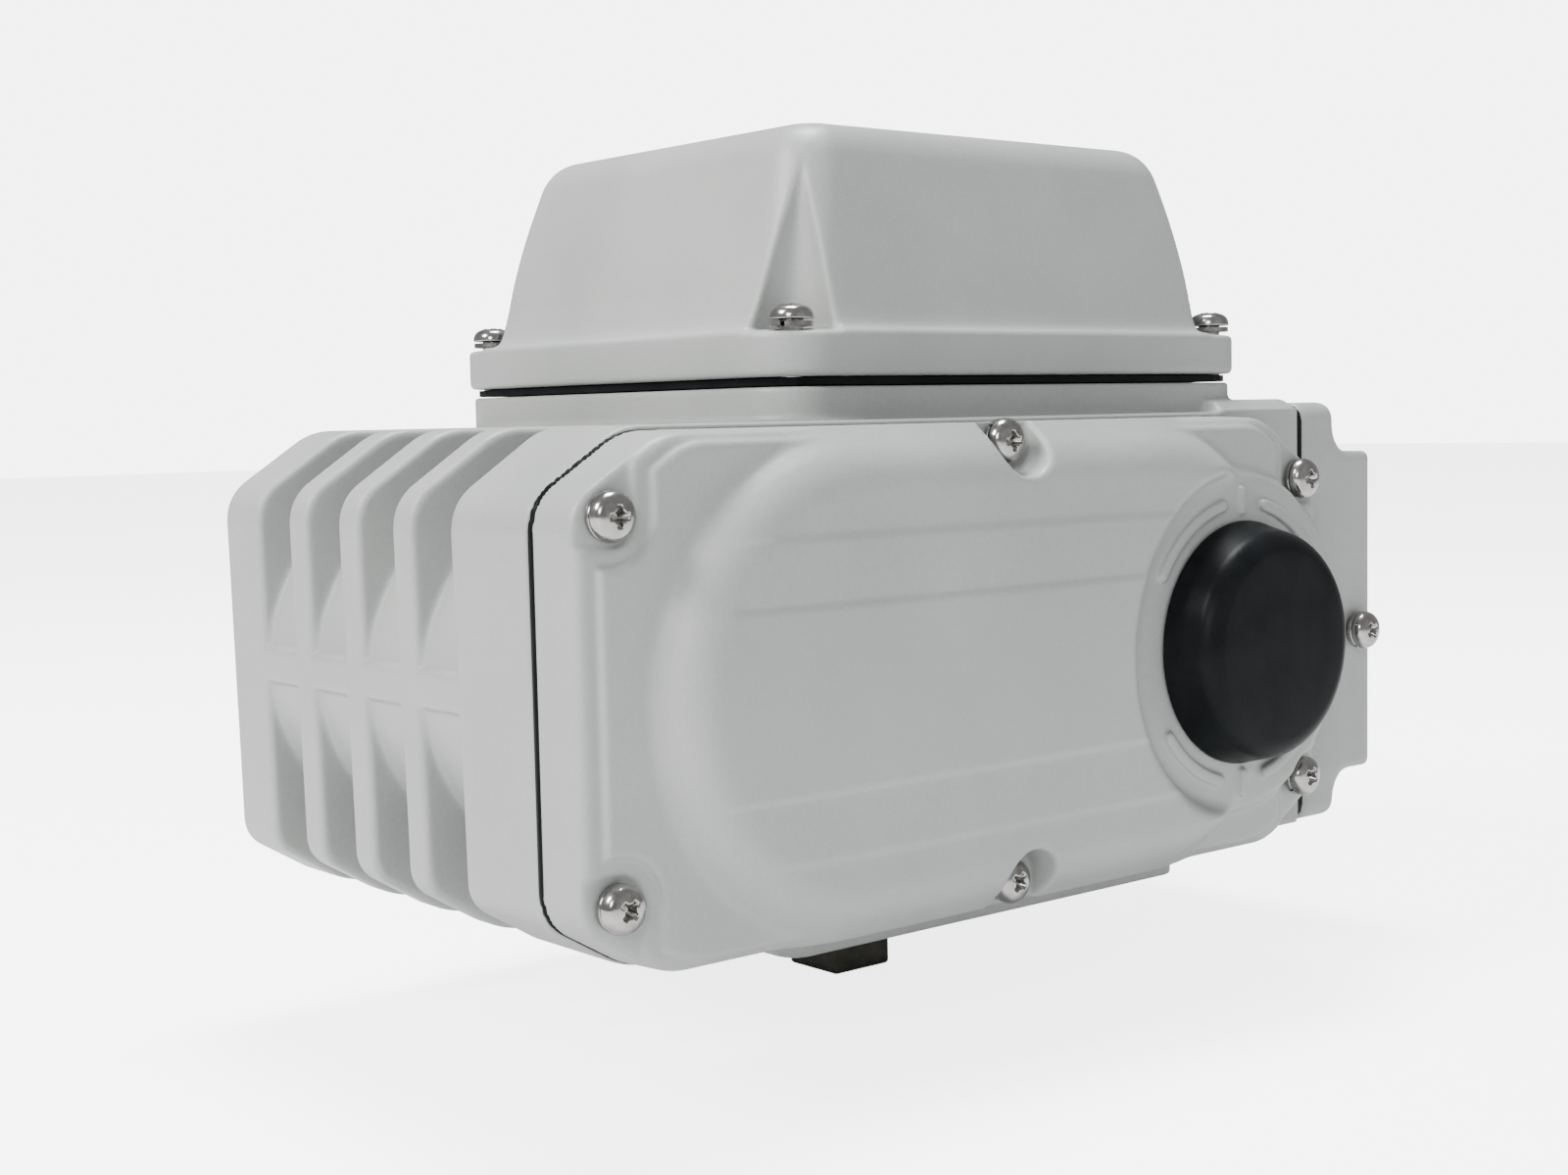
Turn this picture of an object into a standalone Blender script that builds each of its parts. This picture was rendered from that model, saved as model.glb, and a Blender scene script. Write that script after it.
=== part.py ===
"""Quarter-turn motorized valve actuator as an assembly of separate parts.

Frame: +Z up, front towards -Y, cooling fins towards -X, cable entries towards +X.
Origin: output shaft axis where it crosses the valve mounting face.
Lengths are written in millimetres and scaled to metres when meshes are made.
"""
import math

import bmesh
import bpy
from mathutils import Vector

MM = 0.001
GAP = 0.3

# housing
LEFT_X = -126.0
END_X = 94.5
FRONT_Y = -63.0
BACK_Y = 59.0
BOTTOM_Z = 8.5
DECK_Z = 109.0
COLLAR = (-60.5, 83.7, -57.0, 67.5)
COLLAR_TOP = 115.95
PAD_X = 60.0
PAD_Y = 54.5
VALVE_BOLT = 24.75
MOTOR_X = -85.48
MOTOR_Z = 59.0
BARREL_R = 38.7
BELT_Z = (55.2, 63.3)
FIN_SLOTS = ((-36.7, -22.8), (-15.1, -1.6), (6.7, 20.2), (28.3, 41.9))

# covers
TOP_FLANGE = (-61.5, 84.75, -58.0, 68.5)
TOP_FLANGE_Z = (118.0, 127.6)
TOP_Z = 171.3
COVER_BACK_Y = -64.5
FLANGE_Y = -76.0
BAND_Y = -77.2
FIELD_Y = -78.5
BULGE_Y = -86.0
DIAL_Y = -81.0
BULGE_X = (-62.5, 21.5)
BULGE_Z = 58.5
BULGE_R = 47.5
END_COVER_X = (97.0, 110.9)
END_FRONT_Y = -62.7
BLOCK_X = 125.5
BLOCK_Z = (19.0, 98.5)

# gear train: module 1.5 in front, single-start worm of module 2 on a 40-tooth wheel
MODULE = 1.5
WORM_X = 50.25
GEAR_Z = 57.7
PINION_TEETH = 10
LARGE_TEETH = 44
SMALL_TEETH = 12
IDLER_TEETH = 36
FINAL_TEETH = 43
WHEEL_TEETH = 40
WHEEL_TIP_R = 39.9
WORM_TIP_R = 10.05
WORM_ROOT_R = 7.6
WORM_LEAD = math.pi * 2.0
SQUARE = 17.0
SQUARE_END_Z = -21.0

# M5 pan-head screws with spring washers
HEAD_R = 4.65
HEAD_H = 3.3
WASHER_H = 1.3
SHANK_R = 2.5
HOLE_R = 2.8
GEAR_COVER_SCREWS = ((-117.9, 93.3), (-117.9, 24.1), (-20.8, 104.2),
                     (-20.8, 14.2), (76.3, 93.3), (76.3, 24.1))
TOP_SCREWS = ((-53.5, -50.8), (76.75, -50.8), (-53.5, 61.3), (76.75, 61.3))
END_SCREWS = ((-45.0, 104.7), (45.0, 104.7), (-45.0, 13.5), (45.0, 13.5))
EARTH_SCREW = (118.8, 54.0)

COLOURS = {
    "paint": ((0.60, 0.62, 0.60), 0.45, 0.0),
    "rubber": ((0.015, 0.015, 0.016), 0.6, 0.0),
    "stainless": ((0.62, 0.60, 0.57), 0.25, 1.0),
    "dark_steel": ((0.07, 0.07, 0.065), 0.5, 0.8),
    "gear_steel": ((0.40, 0.40, 0.41), 0.35, 1.0),
    "bronze": ((0.62, 0.42, 0.20), 0.4, 1.0),
    "board": ((0.02, 0.16, 0.06), 0.5, 0.0),
    "plastic": ((0.03, 0.03, 0.035), 0.45, 0.0),
    "plug": ((0.05, 0.05, 0.055), 0.5, 0.0),
    "can": ((0.55, 0.56, 0.58), 0.3, 1.0),
}


def clear_objects():
    for obj in list(bpy.data.objects):
        bpy.data.objects.remove(obj, do_unlink=True)


def collection(name):
    group = bpy.data.collections.new(name)
    bpy.context.scene.collection.children.link(group)
    return group


def material(name):
    found = bpy.data.materials.get(name)
    if found:
        return found
    colour, rough, metal = COLOURS[name]
    made = bpy.data.materials.new(name)
    made.use_nodes = True
    shader = made.node_tree.nodes["Principled BSDF"]
    shader.inputs["Base Color"].default_value = (*colour, 1.0)
    shader.inputs["Roughness"].default_value = rough
    shader.inputs["Metallic"].default_value = metal
    return made


def add_object(name, bm, look, origin=(0, 0, 0)):
    """Turn a bmesh drawn in world millimetres into an object whose origin is given."""
    shift = Vector(origin)
    for vert in bm.verts:
        vert.co = (vert.co - shift) * MM
    bmesh.ops.recalc_face_normals(bm, faces=bm.faces)
    mesh = bpy.data.meshes.new(name)
    bm.to_mesh(mesh)
    bm.free()
    obj = bpy.data.objects.new(name, mesh)
    obj.location = shift * MM
    if look is None:
        CUTTERS.objects.link(obj)
        obj.hide_render = True
        obj.display_type = "WIRE"
    else:
        PARTS.objects.link(obj)
        mesh.materials.append(material(look))
        mesh.shade_smooth()
        mesh.set_sharp_from_angle(angle=math.radians(32))
    return obj


def loft(rings, bm=None):
    """Skin closed rings of equal length and cap both ends."""
    bm = bm or bmesh.new()
    rows = [[bm.verts.new(point) for point in ring] for ring in rings]
    for low, high in zip(rows, rows[1:]):
        count = len(low)
        for i in range(count):
            j = (i + 1) % count
            bm.faces.new((low[i], low[j], high[j], high[i]))
    bm.faces.new(rows[0][::-1])
    bm.faces.new(rows[-1])
    return bm


def rounded(x0, x1, y0, y1, r, steps=5):
    """Outline of a rounded rectangle, counter-clockwise, as 2-D points."""
    points = []
    corners = ((x1 - r, y0 + r, -90), (x1 - r, y1 - r, 0), (x0 + r, y1 - r, 90), (x0 + r, y0 + r, 180))
    for cx, cy, start in corners:
        for i in range(steps + 1):
            angle = math.radians(start + 90 * i / steps)
            points.append((cx + r * math.cos(angle), cy + r * math.sin(angle)))
    return points


def stadium(x0, x1, z, r, steps=12):
    """Outline of two half circles joined by straight lines."""
    points = []
    for cx, start in ((x1, -90), (x0, 90)):
        for i in range(steps + 1):
            angle = math.radians(start + 180 * i / steps)
            points.append((cx + r * math.cos(angle), z + r * math.sin(angle)))
    return points


def circle(u, v, r, count=20):
    turn = 2 * math.pi / count
    return [(u + r * math.cos(i * turn), v + r * math.sin(i * turn)) for i in range(count)]


def place(outline, axis, at):
    """Lift a 2-D outline to 3-D across the given axis."""
    if axis == "X":
        return [(at, u, v) for u, v in outline]
    if axis == "Y":
        return [(u, at, v) for u, v in outline]
    return [(u, v, at) for u, v in outline]


def prism(outline, axis, low, high):
    return loft([place(outline, axis, low), place(outline, axis, high)])


def layers(pairs, axis):
    """Loft through (outline, position) pairs."""
    return loft([place(outline, axis, at) for outline, at in pairs])


def box(x0, x1, y0, y1, z0, z1):
    bm = bmesh.new()
    bmesh.ops.create_cube(bm, size=1.0)
    for vert in bm.verts:
        vert.co.x = x0 if vert.co.x < 0 else x1
        vert.co.y = y0 if vert.co.y < 0 else y1
        vert.co.z = z0 if vert.co.z < 0 else z1
    return bm


def boolean(obj, bm, operation="DIFFERENCE"):
    """Cut or join a shape, kept as its own object in the cutter collection."""
    tool = add_object(f"{obj.name}_tool_{len(obj.modifiers)}", bm, None)
    mod = obj.modifiers.new("Boolean", "BOOLEAN")
    mod.operation = operation
    mod.object = tool
    mod.solver = "EXACT"
    return mod


def drill(obj, axis, u, v, low, high, r=HOLE_R, count=12):
    boolean(obj, prism(circle(u, v, r, count), axis, low, high))


def bevel(obj, width, segments=2, angle=30):
    mod = obj.modifiers.new("Bevel", "BEVEL")
    mod.width = width * MM
    mod.segments = segments
    mod.limit_method = "ANGLE"
    mod.angle_limit = math.radians(angle)
    return mod


def turned(name, profile, look, origin, axis="Z", steps=24):
    """Spin a (radius, height) profile, listed from top to bottom, about a parent axis."""
    bm = bmesh.new()
    verts = [bm.verts.new((r * MM, 0, h * MM)) for r, h in profile]
    for first, second in zip(verts, verts[1:]):
        bm.edges.new((first, second))
    if profile[0][0] > 0:
        bm.edges.new((verts[-1], verts[0]))
    mesh = bpy.data.meshes.new(name)
    bm.to_mesh(mesh)
    bm.free()
    obj = bpy.data.objects.new(name, mesh)
    PARTS.objects.link(obj)
    mesh.materials.append(material(look))
    obj.location = Vector(origin) * MM
    turns = {"Z": (0, 0, 0), "-Y": (math.pi / 2, 0, 0), "X": (0, math.pi / 2, 0)}
    obj.rotation_euler = turns[axis]
    mod = obj.modifiers.new("Screw", "SCREW")
    mod.steps = steps
    mod.render_steps = steps
    mod.use_merge_vertices = True
    mod.merge_threshold = 0.00001
    mod.use_smooth_shade = True
    return obj


def housing_outline():
    return [(LEFT_X, 95.2), (-105.0, DECK_Z), (END_X, DECK_Z), (END_X, BOTTOM_Z),
            (-107.0, BOTTOM_Z), (-124.8, 19.5)][::-1]


def slot_outline(side):
    """Space between two fins, above (1) or below (-1) the belt, down to the motor barrel."""
    edge = BELT_Z[1] if side > 0 else BELT_Z[0]
    start = math.pi - math.asin((edge - MOTOR_Z) / BARREL_R)
    end = side * math.pi / 2 if side > 0 else 3 * math.pi / 2
    points = []
    for i in range(9):
        angle = start + (end - start) * i / 8
        points.append((MOTOR_X + BARREL_R * math.cos(angle), MOTOR_Z + BARREL_R * math.sin(angle)))
    stop = -62.0 if side > 0 else -70.0
    outer = 125.0 if side > 0 else 0.0
    points += [(stop, points[-1][1]), (stop, outer), (-135.0, outer), (-135.0, edge)]
    return points if side < 0 else points[::-1]


def main_housing():
    body = add_object("main_housing", prism(housing_outline(), "Y", FRONT_Y, BACK_Y), "paint")
    bevel(body, 1.2, 1)
    for y0, y1 in FIN_SLOTS:
        for side in (1, -1):
            boolean(body, prism(slot_outline(side), "Y", y0, y1))
    end = prism(rounded(66.5, END_X, FRONT_Y, BACK_Y, 4, 3), "Z", 8.2, 111.8)
    boolean(body, end, "UNION")
    collar = prism(rounded(*COLLAR, 12), "Z", 104.0, COLLAR_TOP)
    boolean(body, collar, "UNION")
    pad = prism(rounded(-PAD_X, PAD_X, -PAD_Y, PAD_Y, 5), "Z", 0.0, 10.0)
    boolean(body, pad, "UNION")
    hollow_housing(body)
    drill_housing(body)
    return body


def hollow_housing(body):
    boolean(body, prism(rounded(-48, 72, -45, 55, 10), "Z", 100.0, 120.0))
    boolean(body, prism(circle(0, 0, 41.5, 40), "Z", 34.0, 101.0))
    boolean(body, prism(circle(0, 0, 20.4, 20), "Z", -1.0, 35.0))
    boolean(body, prism(stadium(-45.0, WORM_X, GEAR_Z, 36.0), "Y", -70.0, -46.0))
    boolean(body, prism(circle(MOTOR_X, MOTOR_Z, 36.0, 40), "Y", -69.0, 50.0))
    boolean(body, prism(circle(WORM_X, GEAR_Z, 16.1, 20), "Y", -47.0, 50.0))
    boolean(body, box(78.0, 100.0, -38.0, 50.0, 22.0, 96.0))
    boolean(body, box(62.0, 80.0, 22.0, 44.0, 88.0, 101.0))


def drill_housing(body):
    for x, z in GEAR_COVER_SCREWS:
        drill(body, "Y", x, z, -70.0, -51.0)
    for x, y in TOP_SCREWS:
        drill(body, "Z", x, y, 109.9, 120.0)
    for y, z in END_SCREWS:
        drill(body, "X", y, z, 83.0, 100.0)
    for sx, sy in ((1, 1), (1, -1), (-1, 1), (-1, -1)):
        drill(body, "Z", sx * VALVE_BOLT, sy * VALVE_BOLT, -1.0, 14.0, 3.4)
    drill(body, "Y", -45.0, GEAR_Z, -47.0, -40.0, 3.3)
    drill(body, "Y", -9.0, GEAR_Z, -47.0, -42.4, 3.3)


def cover_outline(inset_x=0.0, inset_z=None):
    """Front outline of the gear cover with its four clipped corners."""
    inset_z = inset_x if inset_z is None else inset_z
    x0, x1 = -125.5 + inset_x, 83.8 - inset_x
    z0, z1 = 9.4 + inset_z, 108.1 - inset_z
    return [(x0 + 18.0, z0), (x1 - 18.0, z0), (x1, z0 + 10.8), (x1, z1 - 12.2),
            (x1 - 19.5, z1), (x0 + 19.5, z1), (x0, z1 - 12.2), (x0, z0 + 10.8)]


def corner_pocket(x, z, reach, y):
    """Recess round a corner screw down to height y, open towards the cover's corner."""
    sx = -1 if x < 0 else 1
    sz = 1 if z > BULGE_Z else -1
    points = [(x - sx * reach, z + sz * 30), (x + sx * 30, z + sz * 30), (x + sx * 30, z - sz * reach)]
    for i in range(7):
        angle = math.pi / 2 * i / 6
        points.append((x - sx * reach * math.sin(angle), z - sz * reach * math.cos(angle)))
    return prism(points, "Y", y - 15, y)


def middle_recess(x, z):
    """U-shaped recess round a middle screw, open upwards or downwards."""
    sz = 1 if z > BULGE_Z else -1
    x += 0.8
    points = [(x + 7.2, z + sz * 20), (x - 7.2, z + sz * 20)]
    for i in range(9):
        angle = math.pi * i / 8
        points.append((x - 7.2 * math.cos(angle), z - sz * 7.2 * math.sin(angle)))
    return prism(points, "Y", FLANGE_Y - 15, FLANGE_Y)


def gear_cover():
    rings = [(cover_outline(0.0), COVER_BACK_Y), (cover_outline(0.6), BAND_Y + 1.0),
             (cover_outline(1.4), BAND_Y), (cover_outline(4.4, 1.9), BAND_Y - 0.05),
             (cover_outline(4.9, 2.4), FIELD_Y)]
    cover = add_object("gear_cover", layers(rings, "Y"), "paint")
    for x, z in GEAR_COVER_SCREWS:
        if abs(z - BULGE_Z) < 40:
            boolean(cover, corner_pocket(x, z, 9.0, BAND_Y - 0.05))
    bulge = [(stadium(*BULGE_X, BULGE_Z, BULGE_R), FIELD_Y + 1), (stadium(*BULGE_X, BULGE_Z, BULGE_R), FIELD_Y),
             (stadium(*BULGE_X, BULGE_Z, 43.2), -84.4), (stadium(*BULGE_X, BULGE_Z, 40.0), BULGE_Y)]
    boolean(cover, layers(bulge, "Y"), "UNION")
    dial = [(circle(WORM_X, GEAR_Z, 38.5, 36), COVER_BACK_Y), (circle(WORM_X, GEAR_Z, 38.5, 36), FIELD_Y),
            (circle(WORM_X, GEAR_Z, 36.5, 36), DIAL_Y)]
    boolean(cover, layers(dial, "Y"), "UNION")
    pocket = [(circle(WORM_X, GEAR_Z, 39.5, 36), BULGE_Y - 1), (circle(WORM_X, GEAR_Z, 36.5, 36), DIAL_Y)]
    boolean(cover, layers(pocket, "Y"))
    boolean(cover, prism(stadium(-82.0, WORM_X, GEAR_Z, 34.0), "Y", -73.5, -60.0))
    boolean(cover, prism(stadium(-62.0, -18.0, GEAR_Z, 30.0), "Y", -81.5, -73.0))
    drill(cover, "Y", WORM_X, GEAR_Z, -82.0, -72.0, 5.6, 20)
    for x, z in GEAR_COVER_SCREWS:
        corner = abs(z - BULGE_Z) < 40
        boolean(cover, corner_pocket(x, z, 5.6, FLANGE_Y) if corner else middle_recess(x, z))
        drill(cover, "Y", x, z, -78.0, -60.0)
    return cover


def gear_cover_gasket():
    gasket = add_object("gear_cover_gasket", prism(cover_outline(0.15), "Y", -64.2, -63.3), "rubber")
    boolean(gasket, prism(stadium(-85.0, WORM_X, GEAR_Z, 36.5), "Y", -66.0, -61.0))
    for x, z in GEAR_COVER_SCREWS:
        drill(gasket, "Y", x, z, -66.0, -61.0)


def top_ring(inset_x, inset_y, r, steps=6):
    x0, x1, y0, y1 = TOP_FLANGE
    return rounded(x0 + inset_x, x1 - inset_x, y0 + inset_y, y1 - inset_y, r, steps)


def top_cover():
    low, high = TOP_FLANGE_Z
    rings = [(top_ring(0.3, 0.3, 12.7), low), (top_ring(0, 0, 13), low + 0.6), (top_ring(0, 0, 13), high - 1.0),
             (top_ring(1.0, 1.0, 12), high), (top_ring(4.2, 3.4, 11), high + 0.4),
             (top_ring(7.0, 5.4, 11), 136.0), (top_ring(13.2, 10.4, 10.5), 157.0),
             (top_ring(16.6, 12.8, 10), 167.6), (top_ring(18.4, 14.6, 9), 170.4), (top_ring(21.5, 17.6, 7), TOP_Z)]
    cover = add_object("top_cover", layers(rings, "Z"), "paint")
    for x, y in TOP_SCREWS:
        boolean(cover, scoop(x, y))
    inner = [(top_ring(12.5, 12.0, 18, 4), low - 1), (top_ring(13.5, 12.5, 18, 4), 136.0),
             (top_ring(19.0, 16.0, 16, 4), 157.0), (top_ring(22.5, 18.5, 14, 4), 166.8)]
    boolean(cover, layers(inner, "Z"))
    for x, y in TOP_SCREWS:
        drill(cover, "Z", x, y, 115.0, 130.0)
    return cover


def scoop(x, y):
    """Tall tapering recess above a top cover screw, ending at a point on the cover's corner."""
    sx = 1 if x < 10 else -1
    sy = 1 if y < 5 else -1
    rings = []
    for part in (0.0, 0.35, 0.7, 1.0):
        z = TOP_FLANGE_Z[1] + part * 30.0
        rings.append(place(circle(x + sx * 8.6 * part, y + sy * 6.2 * part, 9.0 - 8.4 * part, 20), "Z", z))
    return loft(rings)


def top_cover_gasket():
    x0, x1, y0, y1 = TOP_FLANGE
    outline = rounded(x0 + 2, x1 - 2, y0 + 2, y1 - 2, 11)
    gasket = add_object("top_cover_gasket", prism(outline, "Z", 116.25, 117.7), "rubber")
    boolean(gasket, prism(rounded(-48, 72, -45, 55, 10), "Z", 115.0, 119.0))
    for x, y in TOP_SCREWS:
        drill(gasket, "Z", x, y, 115.0, 119.0)


def end_cover():
    x0, x1 = END_COVER_X
    plate = prism(rounded(END_FRONT_Y, BACK_Y, 8.0, 110.8, 4, 3), "X", x0, x1)
    cover = add_object("end_cover", plate, "paint")
    bevel(cover, 1.5, 1, 60)
    foot = rounded(END_FRONT_Y, 57, BLOCK_Z[0] - 4, BLOCK_Z[1] + 4, 2, 3)
    body = rounded(END_FRONT_Y, 57, *BLOCK_Z, 2, 3)
    top = rounded(END_FRONT_Y + 1.5, 55.5, BLOCK_Z[0] + 1.5, BLOCK_Z[1] - 1.5, 2, 3)
    block = [(foot, x1 - 2), (foot, x1), (body, x1 + 4), (body, BLOCK_X - 1.5), (top, BLOCK_X)]
    boolean(cover, layers(block, "X"), "UNION")
    boolean(cover, prism(rounded(-42, 45, 25, 93, 4, 3), "X", x0 - 1, 120.5))
    for y in PLUG_Y:
        drill(cover, "X", y, BULGE_Z, 119.0, 127.0, 10.0, 24)
    for y, z in END_SCREWS:
        drill(cover, "X", y, z, 96.0, 112.0)
        drill(cover, "X", y, z, END_COVER_X[1], 120.0, 5.2, 20)
    drill(cover, "Y", *EARTH_SCREW, -65.0, -45.0)


def end_cover_gasket():
    plate = prism(rounded(END_FRONT_Y, 58.5, 8.6, 110.4, 4, 3), "X", END_X + GAP, END_COVER_X[0] - GAP)
    gasket = add_object("end_cover_gasket", plate, "rubber")
    boolean(gasket, prism(rounded(-42, 50, 23, 96, 4, 3), "X", 93, 99))
    for y, z in END_SCREWS:
        drill(gasket, "X", y, z, 93, 99)


PLUG_Y = (-24.0, 26.0)


def cable_entry_plugs():
    for name, y in zip(("front", "back"), PLUG_Y):
        profile = [(0, 3.8), (11.5, 3.8), (13.0, 2.6), (13.0, GAP), (9.6, GAP), (9.6, -7.0), (0, -7.0)]
        plug = turned(f"cable_entry_plug_{name}", profile, "plug", (BLOCK_X, y, BULGE_Z), "X")
        boolean(plug, box(BLOCK_X + 2.6, BLOCK_X + 5, y - 9, y + 9, BULGE_Z - 1.1, BULGE_Z + 1.1))


def screw(name, seat, axis, length, washer=True):
    """Pan-head screw with a cross recess; seat is the surface point under its washer."""
    lift = WASHER_H + 2 * GAP if washer else GAP
    top = lift + HEAD_H
    profile = [(0, top), (2.4, top - 0.15), (3.9, top - 1.0), (HEAD_R, top - 2.2), (HEAD_R, lift),
               (SHANK_R, lift), (SHANK_R, -length), (0, -length)]
    made = turned(name, profile, "stainless", seat, axis, 12)
    a, b = 2.4, 0.55
    x, y, z = seat
    spans = {"Z": lambda u, v: box(x - u, x + u, y - v, y + v, z + top - 1.6, z + top + 1),
             "-Y": lambda u, v: box(x - u, x + u, y - top - 1, y - top + 1.6, z - v, z + v),
             "X": lambda u, v: box(x + top - 1.6, x + top + 1, y - u, y + u, z - v, z + v)}
    boolean(made, spans[axis](a, b))
    boolean(made, spans[axis](b, a))
    return made


def washer(name, seat, axis):
    profile = [(4.5, GAP + WASHER_H), (4.5, GAP), (2.8, GAP), (2.8, GAP + WASHER_H)]
    return turned(name, profile, "stainless", seat, axis, 12)


def fasteners():
    for i, (x, z) in enumerate(GEAR_COVER_SCREWS, 1):
        screw(f"gear_cover_screw_{i}", (x, FLANGE_Y, z), "-Y", 24.0)
        washer(f"gear_cover_washer_{i}", (x, FLANGE_Y, z), "-Y")
    for i, (x, y) in enumerate(TOP_SCREWS, 1):
        screw(f"top_cover_screw_{i}", (x, y, TOP_FLANGE_Z[1]), "Z", 17.4)
        washer(f"top_cover_washer_{i}", (x, y, TOP_FLANGE_Z[1]), "Z")
    for i, (y, z) in enumerate(END_SCREWS, 1):
        screw(f"end_cover_screw_{i}", (END_COVER_X[1], y, z), "X", 26.0, False)
    x, z = EARTH_SCREW
    screw("earth_screw", (x, END_FRONT_Y, z), "-Y", 12.0)
    washer("earth_washer", (x, END_FRONT_Y, z), "-Y")


def shaft_cap():
    profile = [(0, 12.3), (20.5, 12.3), (23.6, 11.2), (25.4, 8.6), (27.2, GAP), (21.0, GAP), (21.0, 8.3), (0, 8.3)]
    turned("manual_shaft_cap", profile, "rubber", (WORM_X, DIAL_Y, GEAR_Z), "-Y", 32)


def gear_outline(cx, cz, teeth, phase):
    """Trapezoid teeth with 20 % backlash, so meshed gears never touch."""
    pitch_r = MODULE * teeth / 2
    pitch = math.pi * MODULE
    levels = (pitch_r - 1.1 * MODULE, pitch_r + 0.8 * MODULE)
    points = []
    for i in range(teeth):
        middle = phase + 2 * math.pi * i / teeth
        for r, side in ((levels[0], -1), (levels[1], -1), (levels[1], 1), (levels[0], 1)):
            half = 0.20 * pitch - (r - pitch_r) * math.tan(math.radians(22))
            angle = middle + side * half / r
            points.append((cx + r * math.cos(angle), cz + r * math.sin(angle)))
    return points


def meshed_phase(first, first_phase, second):
    """Phase of the second gear when its gap meets a tooth of the first; gears are (x, z, teeth)."""
    line = math.atan2(second[1] - first[1], second[0] - first[0])
    r1 = MODULE * first[2] / 2
    r2 = MODULE * second[2] / 2
    return line + math.pi - ((first_phase - line) * r1 + math.pi * MODULE / 2) / r2


def gear_train():
    final = (WORM_X, GEAR_Z, FINAL_TEETH)
    idler = (-9.0, GEAR_Z, IDLER_TEETH)
    small = (-45.0, GEAR_Z, SMALL_TEETH)
    large = (-45.0, GEAR_Z, LARGE_TEETH)
    pinion = (MOTOR_X, MOTOR_Z, PINION_TEETH)
    idler_phase = meshed_phase(final, 0.0, idler)
    small_phase = meshed_phase(idler, idler_phase, small)
    pinion_phase = meshed_phase(large, 0.0, pinion)

    def wheel(name, gear, phase, low, high, bore):
        bm = prism(gear_outline(*gear, phase), "Y", low, high)
        made = add_object(name, bm, "gear_steel", (gear[0], 0, gear[1]))
        if bore:
            drill(made, "Y", gear[0], gear[1], low - 1, high + 1, bore, 20)
        return made

    wheel("final_gear", final, 0.0, -53.5, -46.8, 7.3)
    wheel("idler_gear", idler, idler_phase, -53.5, -46.8, 3.3)
    compound = wheel("compound_gear", large, 0.0, -61.5, -54.3, 0)
    boolean(compound, prism(gear_outline(*small, small_phase), "Y", -55.0, -46.8), "UNION")
    drill(compound, "Y", -45.0, GEAR_Z, -63.0, -45.0, 3.3, 20)
    motor_pinion = wheel("motor_pinion", pinion, pinion_phase, -61.5, -54.3, 0)
    boolean(motor_pinion, prism(circle(MOTOR_X, MOTOR_Z, 4.0, 16), "Y", -55.0, -34.0), "UNION")
    for name, x, low, high in (("compound_pin", -45.0, -61.8, -40.4), ("idler_pin", -9.0, -53.8, -42.8)):
        add_object(name, prism(circle(x, GEAR_Z, 3.0, 16), "Y", low, high), "gear_steel", (x, 0, GEAR_Z))


def worm_shaft():
    """Core with a right-hand thread; radius varies along and round the shaft."""
    count = 12
    ends = [(-87.0, 5.0), (-72.0, 5.0), (-71.9, 7.0), (-28.0, 7.0), (-27.9, WORM_ROOT_R)]
    rings = []

    def ring(y, radius_at):
        points = []
        for i in range(count):
            angle = 2 * math.pi * i / count
            r = radius_at(angle)
            points.append((WORM_X + r * math.cos(angle), y, GEAR_Z + r * math.sin(angle)))
        rings.append(points)

    for y, r in ends:
        ring(y, lambda angle, r=r: r)
    steps = 36
    for k in range(steps + 1):
        y = -27.0 + 54.0 * k / steps

        def threaded(angle, y=y):
            wave = math.cos(2 * math.pi * (-y / WORM_LEAD - angle / (2 * math.pi)))
            return WORM_ROOT_R + (WORM_TIP_R - WORM_ROOT_R) * min(1.0, max(0.0, 0.5 + 0.9 * wave))
        ring(y, threaded)
    for y, r in ((27.9, WORM_ROOT_R), (28.0, 7.0), (46.0, 7.0)):
        ring(y, lambda angle, r=r: r)
    add_object("worm_shaft", loft(rings), "gear_steel", (WORM_X, 0, GEAR_Z))


def worm_wheel():
    slant = math.atan(WORM_LEAD / (2 * math.pi * WORM_TIP_R)) * 20.0 / WHEEL_TIP_R / 2
    rings = []
    for z, turn in ((47.7, -slant), (67.7, slant)):
        points = []
        for i in range(WHEEL_TEETH):
            middle = turn + 2 * math.pi * i / WHEEL_TEETH
            for r, part in ((36.2, -0.30), (WHEEL_TIP_R, -0.15), (WHEEL_TIP_R, 0.15), (36.2, 0.30)):
                angle = middle + part * 2 * math.pi / WHEEL_TEETH
                points.append((r * math.cos(angle), r * math.sin(angle)))
        rings.append(place(points, "Z", z))
    wheel = add_object("worm_wheel", loft(rings), "bronze")
    drill(wheel, "Z", 0, 0, 47.0, 69.0, 15.3, 24)


def output_shaft():
    profile = [(0, 132.0), (9.0, 132.0), (9.0, 106.0), (12.0, 106.0), (12.0, 68.0), (15.0, 68.0), (15.0, 47.4),
               (22.0, 47.4), (22.0, 37.6), (16.0, 37.6), (16.0, 0.8), (0, 0.8)]
    shaft = turned("output_shaft", profile, "dark_steel", (0, 0, 0), "Z", 24)
    half = SQUARE / 2
    drive = layers([(rounded(-half + 0.8, half - 0.8, -half + 0.8, half - 0.8, 1.0, 2), SQUARE_END_Z),
                    (rounded(-half, half, -half, half, 1.2, 2), SQUARE_END_Z + 0.8),
                    (rounded(-half, half, -half, half, 1.2, 2), 5.0)], "Z")
    boolean(shaft, drive, "UNION")


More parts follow.
